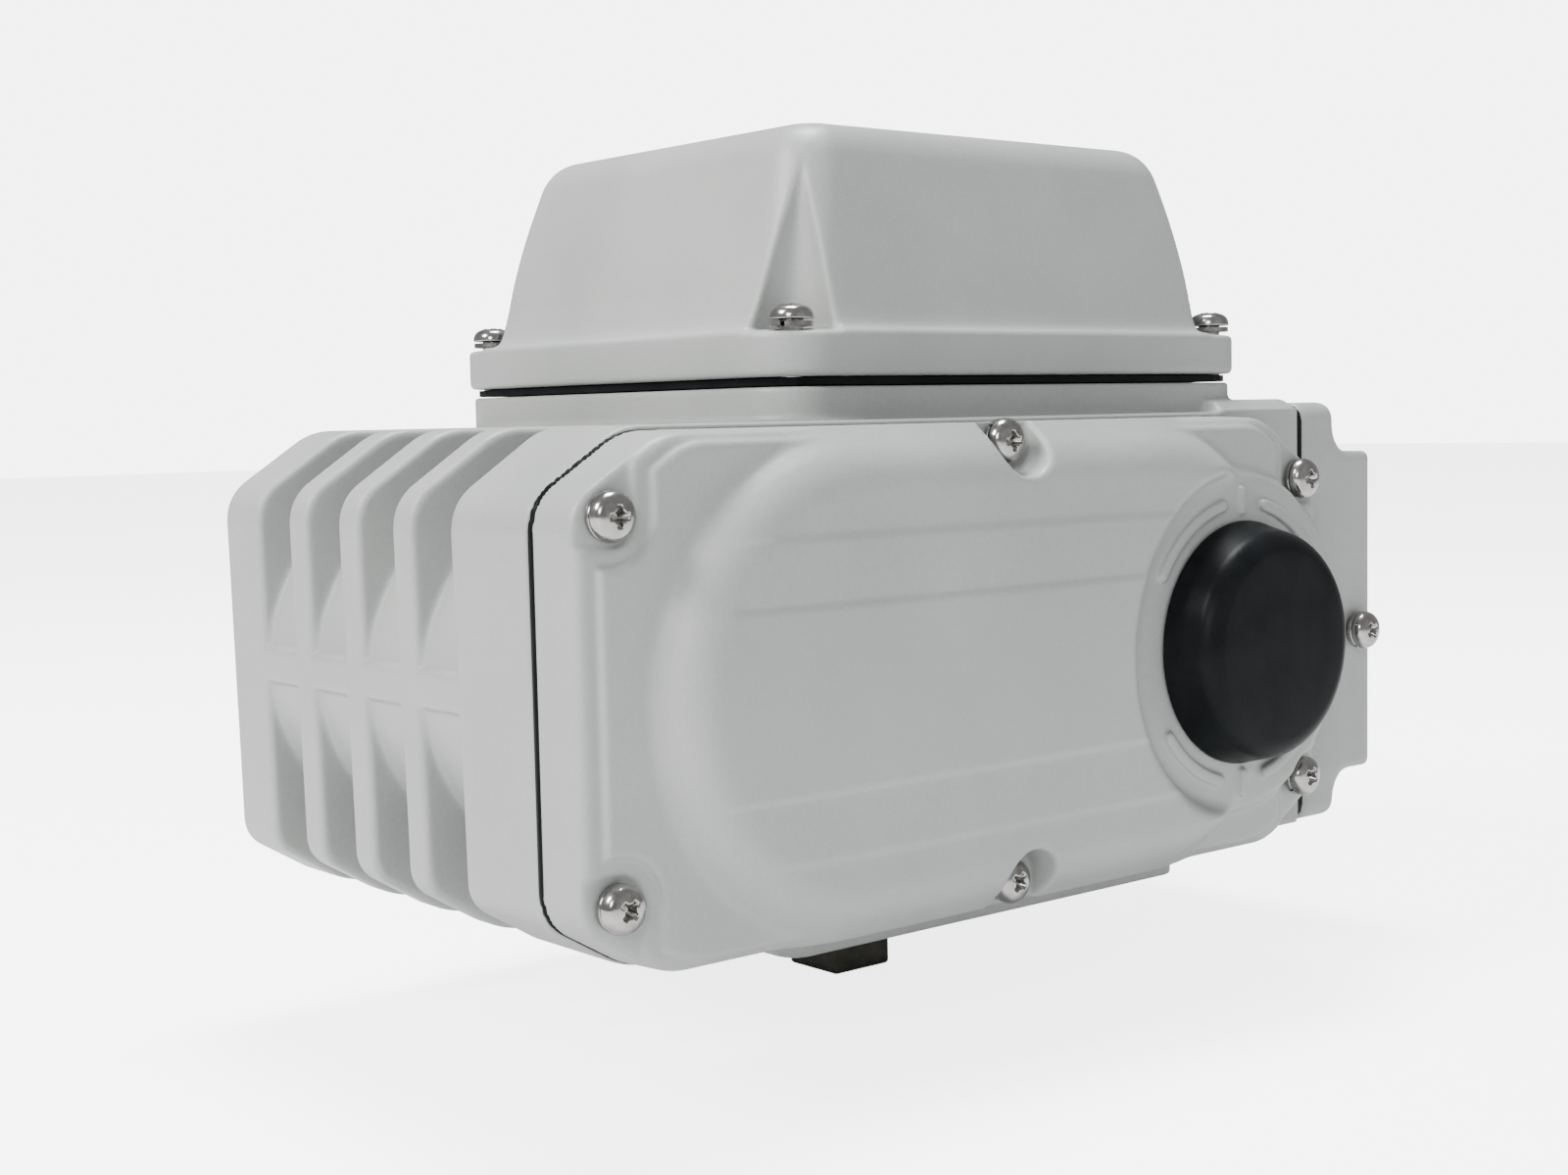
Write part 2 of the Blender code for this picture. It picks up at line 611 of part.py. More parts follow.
def bearings():
    low = [(16.3, 37.3), (16.3, 0.4), (20.0, 0.4), (20.0, 34.3), (25.0, 34.3), (25.0, 37.3)]
    turned("lower_bush", low[::-1], "bronze", (0, 0, 0), "Z", 20)
    high = [(15.0, 106.8), (15.0, 98.0), (12.3, 98.0), (12.3, 106.8)]
    turned("upper_bush", high, "bronze", (0, 0, 0), "Z", 20)
    plate = prism(rounded(-44, 44, -42, 44, 8, 3), "Z", 100.3, 106.3)
    plate = add_object("bearing_plate", plate, "gear_steel")
    drill(plate, "Z", 0, 0, 99.0, 108.0, 15.3, 20)
    for name, y in (("front", -45.5), ("rear", 36.5)):
        ring = [(15.7, 0.0), (15.7, -7.5), (7.3, -7.5), (7.3, 0.0)]
        turned(f"worm_bearing_{name}", ring, "gear_steel", (WORM_X, y, GEAR_Z), "-Y", 20)


def motor():
    profile = [(0, 84.8), (4.3, 84.8), (4.3, 86.0), (33.0, 86.0), (35.6, 84.5), (35.6, 80.0), (33.6, 79.0),
               (33.6, -4.0), (31.0, -6.0), (0, -6.0)]
    body = turned("motor_body", profile, "can", (MOTOR_X, 40.5, MOTOR_Z), "-Y", 24)
    drill(body, "Y", MOTOR_X, MOTOR_Z, -48.0, -33.0, 4.3, 16)


def controls():
    for name, low, turn in (("lower", 111.0, 20), ("upper", 121.6, 200)):
        outline = []
        for i in range(28):
            angle = 2 * math.pi * i / 28
            away = abs((math.degrees(angle) - turn + 180) % 360 - 180)
            r = 13.0 + 2.6 * min(1.0, max(0.0, (55 - away) / 15))
            outline.append((r * math.cos(angle), r * math.sin(angle)))
        cam = add_object(f"limit_cam_{name}", prism(outline, "Z", low, low + 6), "plastic")
        drill(cam, "Z", 0, 0, low - 1, low + 7, 9.3, 20)
    for name, low in (("lower", 106.6), ("upper", 117.2)):
        switch = box(-14, 14, -36, -20, low, low + 10.3)
        switch = add_object(f"limit_switch_{name}", switch, "plastic")
        boolean(switch, box(-3, 3, -21, -16.0, low + 5.5, low + 9.0), "UNION")
    add_object("control_board", box(-46, -26, -32, 42, 126.0, 127.6), "board")
    legs = bpy.data.objects["bearing_plate"]
    for y in (-27.0, 37.0):
        boolean(legs, prism(circle(-36.0, y, 3.0, 12), "Z", 104.0, 125.7), "UNION")
    block = add_object("terminal_block", box(52, 66, -38, 18, 100.3, 117.0), "plastic")
    for i in range(7):
        drill(block, "Z", 56.0, -33.5 + 7.5 * i, 111.0, 118.0, 1.8, 10)
    turned("motor_capacitor", [(0, 42.0), (10.4, 42.0), (11.0, 41.0), (11.0, 0.0), (0, 0.0)], "can",
           (-6.0, 35.0, 117.8), "X", 24)


clear_objects()
PARTS = collection("motorized_valve_actuator")
CUTTERS = collection("cutters")
main_housing()
gear_cover_gasket()
gear_cover()
top_cover_gasket()
top_cover()
end_cover_gasket()
end_cover()
cable_entry_plugs()
fasteners()
shaft_cap()
gear_train()
worm_shaft()
worm_wheel()
output_shaft()
bearings()
motor()
controls()
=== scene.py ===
import math

import bpy
import numpy as np
from mathutils import Matrix, Vector


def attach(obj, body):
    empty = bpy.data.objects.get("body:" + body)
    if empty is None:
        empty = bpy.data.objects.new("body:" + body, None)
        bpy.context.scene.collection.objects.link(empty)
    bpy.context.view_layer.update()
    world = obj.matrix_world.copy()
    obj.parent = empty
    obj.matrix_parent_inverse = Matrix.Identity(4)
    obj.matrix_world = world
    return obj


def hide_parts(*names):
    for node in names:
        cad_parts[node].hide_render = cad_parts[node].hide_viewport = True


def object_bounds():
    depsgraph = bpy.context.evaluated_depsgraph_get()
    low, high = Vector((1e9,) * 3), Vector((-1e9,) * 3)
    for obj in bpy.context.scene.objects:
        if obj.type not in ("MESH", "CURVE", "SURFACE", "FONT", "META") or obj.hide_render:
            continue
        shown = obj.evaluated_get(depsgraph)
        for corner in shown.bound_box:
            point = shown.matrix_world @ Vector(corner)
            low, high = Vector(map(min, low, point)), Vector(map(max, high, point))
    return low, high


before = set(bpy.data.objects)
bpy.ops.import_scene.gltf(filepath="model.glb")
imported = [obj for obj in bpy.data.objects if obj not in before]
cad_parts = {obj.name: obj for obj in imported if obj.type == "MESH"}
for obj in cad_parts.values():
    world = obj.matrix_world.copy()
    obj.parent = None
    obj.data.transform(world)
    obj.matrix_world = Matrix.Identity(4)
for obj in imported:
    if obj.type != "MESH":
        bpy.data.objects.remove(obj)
cad_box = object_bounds()

MM = 0.001


def smin(a, b, k):
    """Minimum with a fillet about k wide."""
    h = np.maximum(k - np.abs(a - b), 0.0) / k
    return np.minimum(a, b) - h * h * k * 0.25


def smax(a, b, k):
    """Maximum with a rounded edge about k wide."""
    h = np.maximum(k - np.abs(a - b), 0.0) / k
    return np.maximum(a, b) + h * h * k * 0.25


def ramp(t):
    """Smooth step from 0 to 1 while t goes from 0 to 1."""
    t = np.clip(t, 0.0, 1.0)
    return t * t * (3.0 - 2.0 * t)


def rect(u, v, u0, u1, v0, v1, r=0.01):
    """Signed distance to a rounded rectangle."""
    qu = np.abs(u - (u0 + u1) / 2) - (u1 - u0) / 2 + r
    qv = np.abs(v - (v0 + v1) / 2) - (v1 - v0) / 2 + r
    outside = np.hypot(np.maximum(qu, 0.0), np.maximum(qv, 0.0))
    return outside + np.minimum(np.maximum(qu, qv), 0.0) - r


def slab(w, w0, w1):
    return np.abs(w - (w0 + w1) / 2) - (w1 - w0) / 2


def stadium(u, v, u0, u1, vc, r):
    """Signed distance to two half circles joined by straight lines."""
    return np.hypot(u - np.clip(u, u0, u1), v - vc) - r


def nearest(hollows):
    """Union of prisms, each given as the distances to its outline and to its two ends."""
    d = np.maximum(*hollows[0])
    for outline, ends in hollows[1:]:
        d = np.minimum(d, np.maximum(outline, ends))
    return d


def skin(name, field, low, high, step, turns=2):
    """Mesh of the surface where field(x, y, z) is zero, all in millimetres."""
    block = 4
    inner_low, inner_high = np.array(low, float), np.array(high, float)
    low = inner_low - 1.5 * step
    size = inner_high + 1.5 * step - low
    blocks = np.ceil(size / step / block).astype(int)
    n = blocks * block
    centres = [low[a] + (np.arange(blocks[a]) + 0.5) * block * step for a in range(3)]
    gx, gy, gz = np.meshgrid(*centres, indexing="ij")
    rough = field(gx.ravel(), gy.ravel(), gz.ravel()).reshape(blocks)
    near = np.abs(rough) < block * step * 1.5

    def spread(values):
        return values.repeat(block, 0).repeat(block, 1).repeat(block, 2)

    fine = spread(near)
    mask = np.zeros(n + 1, bool)
    for dx in (0, 1):
        for dy in (0, 1):
            for dz in (0, 1):
                mask[dx:dx + n[0], dy:dy + n[1], dz:dz + n[2]] |= fine
    value = np.ones(n + 1, np.float32)
    value[:-1, :-1, :-1] = np.where(spread(rough) < 0, -1.0, 1.0)
    value[-1], value[:, -1], value[:, :, -1] = 1.0, 1.0, 1.0
    at = np.argwhere(mask)
    point = low + at * step
    value[mask] = field(point[:, 0], point[:, 1], point[:, 2])
    value[value == 0] = 1e-6
    inside = value < 0
    count = np.zeros(n, np.uint8)
    corners = [(a, b, c) for a in (0, 1) for b in (0, 1) for c in (0, 1)]
    for a, b, c in corners:
        count += inside[a:a + n[0], b:b + n[1], c:c + n[2]]
    cells = np.argwhere((count > 0) & (count < 8))
    total = np.zeros((len(cells), 3))
    hits = np.zeros(len(cells))
    for a in corners:
        for axis in range(3):
            if a[axis]:
                continue
            b = list(a)
            b[axis] = 1
            first = value[tuple((cells + a).T)]
            second = value[tuple((cells + b).T)]
            cross = (first < 0) != (second < 0)
            part = np.where(cross, first / np.where(cross, first - second, 1.0), 0.0)
            place = cells + np.array(a, float)
            place[:, axis] += part
            total += place * cross[:, None]
            hits += cross
    verts = low + total / hits[:, None] * step
    index = np.full(n, -1, np.int32)
    index[tuple(cells.T)] = np.arange(len(cells))
    faces = []
    for axis in range(3):
        u, v = (axis + 1) % 3, (axis + 2) % 3
        near_end = [slice(None)] * 3
        far_end = [slice(None)] * 3
        near_end[axis], far_end[axis] = slice(0, -1), slice(1, None)
        first, second = inside[tuple(near_end)], inside[tuple(far_end)]
        for outward in (True, False):
            hit = np.argwhere((first & ~second) if outward else (~first & second))
            hit = hit[(hit[:, u] > 0) & (hit[:, v] > 0) & (hit[:, u] < n[u]) & (hit[:, v] < n[v])]
            quad = []
            for du, dv in ((-1, -1), (0, -1), (0, 0), (-1, 0)):
                cell = hit.copy()
                cell[:, u] += du
                cell[:, v] += dv
                quad.append(index[tuple(cell.T)])
            quad = np.stack(quad, 1)
            faces.append(quad if outward else quad[:, ::-1])
    faces = np.concatenate(faces)
    eps = 0.02
    for _ in range(turns):
        here = field(*verts.T)
        slope = np.stack([field(*(verts + eps * np.eye(3)[a]).T) - field(*(verts - eps * np.eye(3)[a]).T)
                          for a in range(3)], 1) / (2 * eps)
        size2 = np.maximum((slope ** 2).sum(1), 0.05)
        shift = -slope * (here / size2)[:, None]
        reach = np.maximum(np.linalg.norm(shift, axis=1, keepdims=True) / (0.6 * step), 1.0)
        verts = np.clip(verts + shift / reach, inner_low, inner_high)
    mesh = bpy.data.meshes.new(name)
    mesh.vertices.add(len(verts))
    mesh.vertices.foreach_set("co", (verts * MM).astype(np.float32).ravel())
    mesh.loops.add(faces.size)
    mesh.loops.foreach_set("vertex_index", faces.astype(np.int32).ravel())
    mesh.polygons.add(len(faces))
    mesh.polygons.foreach_set("loop_start", np.arange(0, faces.size, 4, dtype=np.int32))
    mesh.update(calc_edges=True)
    mesh.validate()
    mesh.polygons.foreach_set("use_smooth", np.ones(len(mesh.polygons), bool))
    obj = bpy.data.objects.new(name, mesh)
    bpy.context.scene.collection.objects.link(obj)
    return obj


# Cast parts ---------------------------------------------------------------

FIN_SLOTS = ((-36.7, -22.8), (-15.1, -1.6), (6.7, 20.2), (28.3, 41.9))
MOTOR_X, MOTOR_Z, BARREL_R = -85.48, 59.0, 38.7
WORM_X, GEAR_Z = 50.25, 57.7
SCREWS_FRONT = ((-117.9, 93.3), (-117.9, 24.1), (-20.8, 104.2),
                (-20.8, 14.2), (76.3, 93.3), (76.3, 24.1))
SCREWS_TOP = ((-53.5, -50.8), (76.75, -50.8), (-53.5, 61.3), (76.75, 61.3))
SCREWS_END = ((-45.0, 104.7), (45.0, 104.7), (-45.0, 13.5), (45.0, 13.5))
PLUGS = ((-24.0, 58.5), (26.0, 58.5))


def housing_body(x, y, z):
    """Main block with drafted end face and four clipped ends."""
    left = -126.0 + np.maximum(94.0 - z, 0.0) * 0.018 - x
    top = z - 109.0
    bottom = 8.5 - z
    chamfer_top = (-(x + 126.0) * 13.8 + (z - 95.2) * 21.0) / 25.13
    chamfer_low = (-(x + 124.8) * 11.0 - (z - 19.5) * 17.8) / 20.92
    d = smax(left, chamfer_top, 5.0)
    d = smax(d, chamfer_low, 3.5)
    d = smax(d, top, 2.5)
    d = smax(d, bottom, 3.0)
    d = np.maximum(d, x - 94.5)
    d = smax(d, y - 59.0, 3.0)
    return smax(d, -63.0 - y, 1.0)


def fin_gap(x, y, z, y0, y1):
    """Empty space between two fins, down to the motor barrel and its belt."""
    lean = 0.012 * np.maximum(x + 126.0, 0.0)
    across = slab(y, y0 + lean * 0.5, y1 - lean * 0.5)
    radial = BARREL_R - np.hypot(x - MOTOR_X, z - MOTOR_Z)
    above = np.where(z > MOTOR_Z, MOTOR_Z + BARREL_R - z, z - MOTOR_Z + BARREL_R)
    barrel = np.where(x < MOTOR_X, radial, above)
    belt = -slab(z, 55.2, 63.3)
    stop = x + np.where(z > MOTOR_Z, 62.0, 70.0)
    space = smax(across, barrel, 1.6)
    space = smax(space, belt, 0.6)
    return smax(space, stop, 3.0)


def housing_field(x, y, z):
    d = housing_body(x, y, z)
    for y0, y1 in FIN_SLOTS:
        d = smax(d, -fin_gap(x, y, z, y0, y1), 1.7)
    flange = rect(y, z, -63.0, 59.0, 8.2, 111.8, 5.0)
    flange = smax(flange, slab(x, 66.5, 94.5), 1.6)
    d = smin(d, flange, 2.0)
    collar = smax(rect(x, y, -60.5, 83.7, -57.0, 67.5, 12.0), slab(z, 104.0, 115.95), 0.9)
    d = smin(d, collar, 1.6)
    pad = smax(rect(x, y, -60.0, 60.0, -54.5, 54.5, 5.0), slab(z, 0.0, 12.0), 1.0)
    d = smin(d, pad, 1.6)
    d = np.maximum(d, -63.0 - y)
    hollows = ((rect(x, y, -48.0, 72.0, -45.0, 55.0, 10.0), slab(z, 100.0, 120.0)),
               (np.hypot(x, y) - 41.5, slab(z, 34.0, 101.0)),
               (np.hypot(x, y) - 20.4, slab(z, -2.0, 35.0)),
               (stadium(x, z, -45.0, WORM_X, GEAR_Z, 36.0), slab(y, -70.0, -46.0)),
               (np.hypot(x - MOTOR_X, z - MOTOR_Z) - 36.0, slab(y, -69.0, 50.0)),
               (np.hypot(x - WORM_X, z - GEAR_Z) - 16.1, slab(y, -47.0, 50.0)),
               (rect(y, z, -38.0, 50.0, 22.0, 96.0, 2.0), slab(x, 78.0, 100.0)))
    d = smax(d, -nearest(hollows), 0.8)
    for sx in (-1, 1):
        for sy in (-1, 1):
            hole = np.maximum(np.hypot(x - sx * 24.75, y - sy * 24.75) - 3.6, slab(z, -2.0, 14.0))
            d = smax(d, -hole, 0.9)
    return d


# Heights of the gear cover, measured forwards: seat, screw flange, band, field, dial.
SEAT_F, FLANGE_F, BAND_F, FIELD_F, DIAL_F = 64.5, 76.0, 77.2, 78.5, 81.0


def cover_edge(x, z, inset_x, inset_z):
    """Signed distance to the gear cover's clipped outline, drawn in by the insets."""
    u = np.abs(x + 20.85) - 104.6 + inset_x
    v = np.abs(z - 58.75) - 49.3 + inset_z
    rise = np.where(z > 58.75, 12.2, 10.8)
    run = np.where(z > 58.75, 19.5, 18.0)
    clip = (u * rise + v * run + rise * run) / np.hypot(rise, run)
    return smax(smax(u, clip, 5.0), v, 2.4)


def pocket_edge(x, z, sx, sz, px, pz, reach):
    """Recess round a corner screw: negative inside, with a rounded inner corner."""
    a = -sx * (x - px)
    b = -sz * (z - pz)
    outside = np.hypot(np.maximum(a, 0.0), np.maximum(b, 0.0))
    return outside + np.minimum(np.maximum(a, b), 0.0) - reach


def gasket_field(x, y, z):
    """Outer rim of the gear cover's gasket, a touch proud of the two castings."""
    edge = cover_edge(x, z, -0.1, -0.1)
    d = np.maximum(np.maximum(edge, -edge - 4.0), slab(y, -64.5, -63.0))
    for px, pz in SCREWS_FRONT:
        d = np.maximum(d, 3.0 - np.hypot(x - px, z - pz))
    return d


def gear_cover_field(x, y, z):
    """Stepped plate with the motor bulge, the dial and the recesses round its screws."""
    f = -y
    taper = (f - SEAT_F) * 0.04
    plate = smax(cover_edge(x, z, taper, taper), f - BAND_F, 2.4)
    slope = np.maximum(f - BAND_F, 0.0) * 0.4
    area = smax(cover_edge(x, z, 4.4 + slope, 1.9 + slope), f - FIELD_F, 0.9)
    for px, pz in SCREWS_FRONT:
        if abs(pz - 58.5) < 40:
            sx, sz = (-1 if px < 0 else 1), (1 if pz > 58 else -1)
            area = smax(area, -pocket_edge(x, z, sx, sz, px, pz, 8.8) + slope, 0.9)
    d = smin(plate, area, 0.6)
    from_middle = np.abs(z - 57.5)
    lift = 85.2 + 0.4 * ramp((31.0 - from_middle) / 1.6) + 0.4 * ramp((18.3 - from_middle) / 1.6)
    side = (stadium(x, z, -63.0, 21.5, 58.5, 48.2) + (f - FIELD_F) * 0.85) * 0.76
    bulge = smax(side, f - lift, 4.0)
    d = smin(d, bulge, 1.0)
    ring = np.hypot(x - WORM_X, z - GEAR_Z)
    dial = smax((ring - 38.6 + (f - FIELD_F) * 0.5) * 0.9, f - DIAL_F, 1.5)
    boss = smax(ring - 38.5, f - 79.0, 1.5)
    d = smin(d, smin(dial, boss, 1.0), 1.2)
    well = smax((ring - 37.2 - (f - DIAL_F) * 0.55) * 0.87, DIAL_F - f, 1.6)
    d = smax(d, -well, 2.0)
    angle = np.degrees(np.arctan2(z - GEAR_Z, x - WORM_X))
    marks = np.full_like(x, 9.0)
    for middle, half in ((125.0, 23.0), (58.0, 17.0), (-124.0, 19.0), (-56.0, 19.0)):
        away = np.abs((angle - middle + 180.0) % 360.0 - 180.0) - half
        arc = np.hypot(ring - 31.3, np.maximum(away, 0.0) * 0.545) - 1.35
        marks = np.minimum(marks, arc)
    for middle in (90.0, 270.0):
        away = np.abs((angle - middle + 180.0) % 360.0 - 180.0) * 0.545
        tick = np.hypot(away, np.maximum(np.abs(ring - 31.6) - 2.2, 0.0)) - 1.1
        marks = np.minimum(marks, tick)
    d = smin(d, smax(marks, f - 82.0, 0.5), 0.4)
    for px, pz in SCREWS_FRONT:
        sz = 1 if pz > 58 else -1
        if abs(pz - 58.5) < 40:
            sx = -1 if px < 0 else 1
            recess = pocket_edge(x, z, sx, sz, px, pz, 5.6)
        else:
            up = np.maximum(-sz * (z - pz), 0.0)
            recess = np.hypot(x - px - 0.8, up) - 7.2
        recess = smax(recess * 0.95, FLANGE_F - f, 1.2)
        d = smax(d, -recess, 1.2)
        d = np.maximum(d, 2.9 - np.hypot(x - px, z - pz))
    d = np.maximum(d, 5.6 - ring)
    d = np.maximum(d, SEAT_F - f)
    hollows = ((stadium(x, z, -82.0, WORM_X, GEAR_Z, 34.0), slab(f, 60.0, 73.5)),
               (stadium(x, z, -62.0, -18.0, GEAR_Z, 30.0), slab(f, 73.0, 81.5)))
    return smax(d, -nearest(hollows), 0.8)


def rounded(u, v, r):
    """Distance to a rectangle with corners of radius r, from the distances to its sides."""
    outside = np.hypot(np.maximum(u + r, 0.0), np.maximum(v + r, 0.0))
    return outside + np.minimum(np.maximum(u, v) + r, 0.0) - r


def top_cover_field(x, y, z):
    levels = (127.6, 131.0, 136.0, 146.0, 157.0, 166.0, 171.3)
    in_x = np.interp(z, levels, (3.6, 5.2, 7.0, 10.0, 13.2, 16.0, 17.8))
    in_y = np.interp(z, levels, (3.0, 4.2, 5.4, 7.8, 10.4, 12.4, 13.8))
    u = np.abs(x - 11.625) - (73.125 - in_x)
    v = np.abs(y - 5.25) - (63.25 - in_y)
    body = rounded(u, v, 10.0)
    body = smax(body * 0.95, z - 171.3, 7.5)
    body = np.maximum(body, 120.0 - z)
    flange = smax(rect(x, y, -61.5, 84.75, -58.0, 68.5, 13.0), slab(z, 118.0, 127.6), 1.5)
    d = smin(flange, body, 2.2)
    for px, py in SCREWS_TOP:
        sx = 1 if px < 10 else -1
        sy = 1 if py < 5 else -1
        part = np.clip((z - 127.6) / 30.0, -0.1, 1.2)
        cone = np.hypot(x - px - sx * 8.6 * part, y - py - sy * 6.2 * part) - (9.2 - 8.6 * part)
        cone = smax(cone * 0.93, 127.6 - z, 1.2)
        d = smax(d, -cone, 1.8)
        d = np.maximum(d, 2.9 - np.hypot(x - px, y - py))
    hollow_x = np.interp(z, (117.0, 136.0, 157.0, 166.8), (12.5, 13.5, 19.0, 22.5))
    hollow_y = np.interp(z, (117.0, 136.0, 157.0, 166.8), (12.0, 12.5, 16.0, 18.5))
    u = np.abs(x - 11.625) - (73.125 - hollow_x)
    v = np.abs(y - 5.25) - (63.25 - hollow_y)
    inner = rounded(u, v, 17.0)
    return smax(d, -np.maximum(inner, slab(z, 110.0, 166.8)), 0.6)


def end_cover_field(x, y, z):
    plate = smax(rect(y, z, -62.7, 59.0, 8.0, 110.8, 5.0), slab(x, 97.0, 110.9), 2.6)
    plate = np.maximum(plate, 97.0 - x)
    block = smax(rect(y, z, -62.7, 57.0, 19.0, 98.5, 2.0), slab(x, 105.0, 125.5), 2.2)
    d = smin(plate, block, 7.0)
    d = smax(d, -62.7 - y, 2.2)
    inner = np.maximum(rect(y, z, -42.0, 45.0, 25.0, 93.0, 4.0), slab(x, 90.0, 120.5))
    d = smax(d, -inner, 0.8)
    for py, pz in PLUGS:
        d = smax(d, 10.0 - np.hypot(y - py, z - pz), 0.6)
    for py, pz in SCREWS_END:
        ring = np.hypot(y - py, z - pz)
        d = smax(d, -np.maximum(ring - 5.2, 110.9 - x), 0.8)
        d = np.maximum(d, 2.9 - ring)
    hole = np.maximum(np.hypot(x - 118.8, z - 54.0) - 2.9, slab(y, -66.0, -45.0))
    return np.maximum(d, -hole)


# Small parts --------------------------------------------------------------

SHANK_MM = 12.0


def screw_field(x, y, z):
    """Pan head with a cross recess and its shank; z is up from the head's seat."""
    r = np.hypot(x, y)
    dome = np.sqrt(x * x + y * y + (z + 4.6) ** 2) - 7.9
    head = smax(smax(dome, r - 4.65, 1.3), -z, 0.25)
    shank = smax(r - 2.45, slab(z, -SHANK_MM, 0.5), 0.4)
    d = np.minimum(head, shank)
    depth = (3.3 - z)
    for a, b in ((x, y), (y, x)):
        wing = smax(np.abs(a) - 2.35 + depth * 0.75, np.abs(b) - 0.62 + depth * 0.12, 0.35)
        d = smax(d, -np.maximum(wing, 1.1 - z), 0.22)
    core = np.maximum(r - 1.35 + depth * 0.28, 0.9 - z)
    return smax(d, -core, 0.3)


def make_screw_mesh():
    obj = skin("screw_master", screw_field, (-4.8, -4.8, -SHANK_MM - 0.2), (4.8, 4.8, 3.5), 0.2)
    mesh = obj.data
    bpy.data.objects.remove(obj)
    return mesh


def spring_washer_mesh():
    """Split ring of square section whose ends stand a little apart."""
    verts, faces = [], []
    section = ((2.85, 0.12), (2.97, 0.0), (4.38, 0.0), (4.5, 0.12),
               (4.5, 1.0), (4.38, 1.12), (2.97, 1.12), (2.85, 1.0))
    steps = 72
    for i in range(steps + 1):
        angle = math.radians(6.0 + 348.0 * i / steps)
        rise = 0.16 * i / steps
        for r, h in section:
            verts.append((r * math.cos(angle) * MM, r * math.sin(angle) * MM, (h + rise) * MM))
    count = len(section)
    for i in range(steps):
        for j in range(count):
            a, b = i * count + j, i * count + (j + 1) % count
            faces.append((a, b, b + count, a + count))
    faces.append(tuple(range(count))[::-1])
    faces.append(tuple(steps * count + j for j in range(count)))
    mesh = bpy.data.meshes.new("spring_washer")
    mesh.from_pydata(verts, [], faces)
    mesh.update()
    flip_if_inside_out(mesh)
    mesh.shade_smooth()
    mesh.set_sharp_from_angle(angle=math.radians(35))
    return mesh


def flip_if_inside_out(mesh):
    volume = 0.0
    for face in mesh.polygons:
        first = mesh.vertices[face.vertices[0]].co
        for a, b in zip(face.vertices[1:], face.vertices[2:]):
            volume += first.dot(mesh.vertices[a].co.cross(mesh.vertices[b].co))
    if volume < 0:
        mesh.flip_normals()


def lathe(name, profile, steps=96):
    """Closed solid turned about local Z from (radius, height) points, top to bottom, in millimetres."""
    verts, faces = [], []
    rings = []
    for r, h in profile:
        if r < 1e-6:
            rings.append([len(verts)])
            verts.append((0.0, 0.0, h * MM))
            continue
        rings.append(list(range(len(verts), len(verts) + steps)))
        for i in range(steps):
            angle = 2 * math.pi * i / steps
            verts.append((r * math.cos(angle) * MM, r * math.sin(angle) * MM, h * MM))
    pairs = list(zip(rings, rings[1:]))
    if len(rings[0]) > 1:
        pairs.append((rings[-1], rings[0]))
    for upper, lower in pairs:
        for i in range(steps):
            j = (i + 1) % steps
            quad = [upper[i % len(upper)], lower[i % len(lower)],
                    lower[j % len(lower)], upper[j % len(upper)]]
            quad = list(dict.fromkeys(quad))
            if len(quad) > 2:
                faces.append(quad)
    mesh = bpy.data.meshes.new(name)
    mesh.from_pydata(verts, [], faces)
    mesh.update()
    flip_if_inside_out(mesh)
    mesh.shade_smooth()
    mesh.set_sharp_from_angle(angle=math.radians(40))
    obj = bpy.data.objects.new(name, mesh)
    bpy.context.scene.collection.objects.link(obj)
    return obj


def arc(cr, ch, r, start, end, steps=8):
    """Points of a rounded corner in a lathe profile."""
    points = []
    for i in range(steps + 1):
        angle = math.radians(start + (end - start) * i / steps)
        points.append((cr + r * math.cos(angle), ch + r * math.sin(angle)))
    return points


# Materials ----------------------------------------------------------------

def new_material(name):
    mat = bpy.data.materials.new(name)
    mat.use_nodes = True
    tree = mat.node_tree
    shader = tree.nodes["Principled BSDF"]
    coord = tree.nodes.new("ShaderNodeTexCoord")
    return mat, tree, shader, coord


def noise(tree, coord, scale, detail=2.0, rough=0.5):
    node = tree.nodes.new("ShaderNodeTexNoise")
    node.inputs["Scale"].default_value = scale
    node.inputs["Detail"].default_value = detail
    node.inputs["Roughness"].default_value = rough
    tree.links.new(coord.outputs["Object"], node.inputs["Vector"])
    return node


def colour_ramp(tree, source, stops):
    node = tree.nodes.new("ShaderNodeValToRGB")
    while len(node.color_ramp.elements) < len(stops):
        node.color_ramp.elements.new(0.5)
    for element, (at, colour) in zip(node.color_ramp.elements, stops):
        element.position = at
        element.color = (*colour, 1.0)
    tree.links.new(source, node.inputs["Fac"])
    return node


def span(tree, source, low, high, low_in=0.3, high_in=0.7):
    node = tree.nodes.new("ShaderNodeMapRange")
    node.inputs["From Min"].default_value = low_in
    node.inputs["From Max"].default_value = high_in
    node.inputs["To Min"].default_value = low
    node.inputs["To Max"].default_value = high
    tree.links.new(source, node.inputs["Value"])
    return node


def bump(tree, shader, source, strength, distance, previous=None):
    node = tree.nodes.new("ShaderNodeBump")
    node.inputs["Strength"].default_value = strength
    node.inputs["Distance"].default_value = distance
    tree.links.new(source, node.inputs["Height"])
    if previous:
        tree.links.new(previous.outputs["Normal"], node.inputs["Normal"])
    tree.links.new(node.outputs["Normal"], shader.inputs["Normal"])
    return node


PAINT_DARK = (0.303, 0.316, 0.304)
PAINT_LIGHT = (0.338, 0.350, 0.336)


